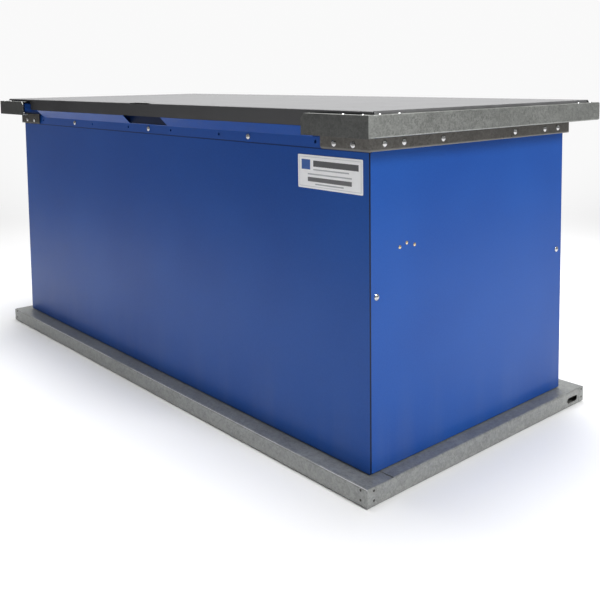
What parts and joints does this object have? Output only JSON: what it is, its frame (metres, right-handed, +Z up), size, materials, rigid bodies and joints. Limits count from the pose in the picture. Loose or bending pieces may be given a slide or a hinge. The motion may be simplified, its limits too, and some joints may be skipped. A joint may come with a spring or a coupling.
{
  "type": "book drop box",
  "caption": "Long steel drop box with a flat lid hinged at the back on gas struts, painted walls, a flared front lip with a hand notch, and a galvanised channel base.",
  "frame": {"origin": "middle of the footprint, on the ground", "axes": "+X along the box to its right end, seen from the front; -Y towards the front, where the latch is; +Z up"},
  "size_m": [2.254, 1.0606, 0.994],
  "materials": {
    "blue_paint": "smooth satin powder coat",
    "galvanised_steel": "galvanised, fine spangle",
    "lid_steel": "light galvanised sheet",
    "zinc": "bright zinc plate",
    "black_paint": "gloss black",
    "rubber": "matt",
    "label_film": "satin film"
  },
  "bodies": {
    "box": {"base_front_channel": "galvanised_steel", "base_back_channel": "galvanised_steel", "base_left_channel": "galvanised_steel", "base_right_channel": "galvanised_steel", "base_cross_member_1": "galvanised_steel", "base_cross_member_2": "galvanised_steel", "base_cross_member_3": "galvanised_steel", "floor_panel": "galvanised_steel", "front_panel": "blue_paint", "back_panel": "blue_paint", "left_end_panel": "blue_paint", "right_end_panel": "blue_paint", "corner_post_front_left": "galvanised_steel", "corner_post_front_right": "galvanised_steel", "corner_post_back_left": "galvanised_steel", "corner_post_back_right": "galvanised_steel", "front_lip": "blue_paint", "back_rim_strip": "blue_paint", "left_rim_strip": "galvanised_steel", "right_rim_strip": "galvanised_steel", "mouth_seal": "rubber", "latch_keeper": "zinc", "label_plate": "label_film", "front_lip_bolt_1": "zinc", "front_lip_bolt_2": "zinc", "front_lip_bolt_3": "zinc", "rim_bolt_left_1": "zinc", "rim_bolt_left_2": "zinc", "rim_bolt_right_1": "zinc", "rim_bolt_right_2": "zinc", "post_bolt_front_left": "zinc", "post_bolt_back_left": "zinc", "post_bolt_front_right": "zinc", "post_bolt_back_right": "zinc", "hinge_left_body_leaf": "galvanised_steel", "hinge_centre_body_leaf": "galvanised_steel", "hinge_right_body_leaf": "galvanised_steel", "hinge_left_pin": "zinc", "hinge_centre_pin": "zinc", "hinge_right_pin": "zinc", "left_strut_foot": "galvanised_steel", "right_strut_foot": "galvanised_steel"},
    "lid": {"lid_sheet": "lid_steel", "lid_left_channel": "galvanised_steel", "lid_right_channel": "galvanised_steel", "lid_stiffener_1": "galvanised_steel", "lid_stiffener_2": "galvanised_steel", "lid_stiffener_3": "galvanised_steel", "latch_housing": "galvanised_steel", "latch_pin": "zinc", "hinge_left_lid_leaf": "galvanised_steel", "hinge_centre_lid_leaf": "galvanised_steel", "hinge_right_lid_leaf": "galvanised_steel", "left_strut_head": "galvanised_steel", "right_strut_head": "galvanised_steel"},
    "latch": {"latch_lever": "galvanised_steel"},
    "left_tube": {"left_strut_tube": "black_paint"},
    "left_rod": {"left_strut_rod": "zinc"},
    "right_tube": {"right_strut_tube": "black_paint"},
    "right_rod": {"right_strut_rod": "zinc"}
  },
  "joints": [
    {"name": "lid_hinge", "type": "hinge", "parent": "box", "child": "lid", "pos_m": [0, 0.44715, 0.9841], "axis": [-1, 0, 0], "range_deg": [0, 80], "stiffness_Nm_per_rad": 73.4, "springref_deg": 113.27},
    {"name": "latch_pivot", "type": "hinge", "parent": "lid", "child": "latch", "pos_m": [0.035, -0.40755, 0.978], "axis": [1, 0, 0], "range_deg": [0, 15]},
    {"name": "left_strut_pivot", "type": "hinge", "parent": "box", "child": "left_tube", "pos_m": [-1, -0.31055, 0.634], "axis": [1, 0, 0], "range_deg": [-0.5, 8]},
    {"name": "left_strut_slide", "type": "slide", "parent": "left_tube", "child": "left_rod", "axis": [0, 0.8103, 0.586], "range_m": [-0.001, 0.378]},
    {"name": "right_strut_pivot", "type": "hinge", "parent": "box", "child": "right_tube", "pos_m": [1, -0.31055, 0.634], "axis": [1, 0, 0], "range_deg": [-0.5, 8]},
    {"name": "right_strut_slide", "type": "slide", "parent": "right_tube", "child": "right_rod", "axis": [0, 0.8103, 0.586], "range_m": [-0.001, 0.378]}
  ],
  "couplings": [
    {"joint": "left_strut_pivot", "follows": "lid_hinge", "ratio": 0.090069},
    {"joint": "left_strut_slide", "follows": "lid_hinge", "m_per_rad": 0.26889},
    {"joint": "right_strut_pivot", "follows": "lid_hinge", "ratio": 0.090069},
    {"joint": "right_strut_slide", "follows": "lid_hinge", "m_per_rad": 0.26889}
  ]
}
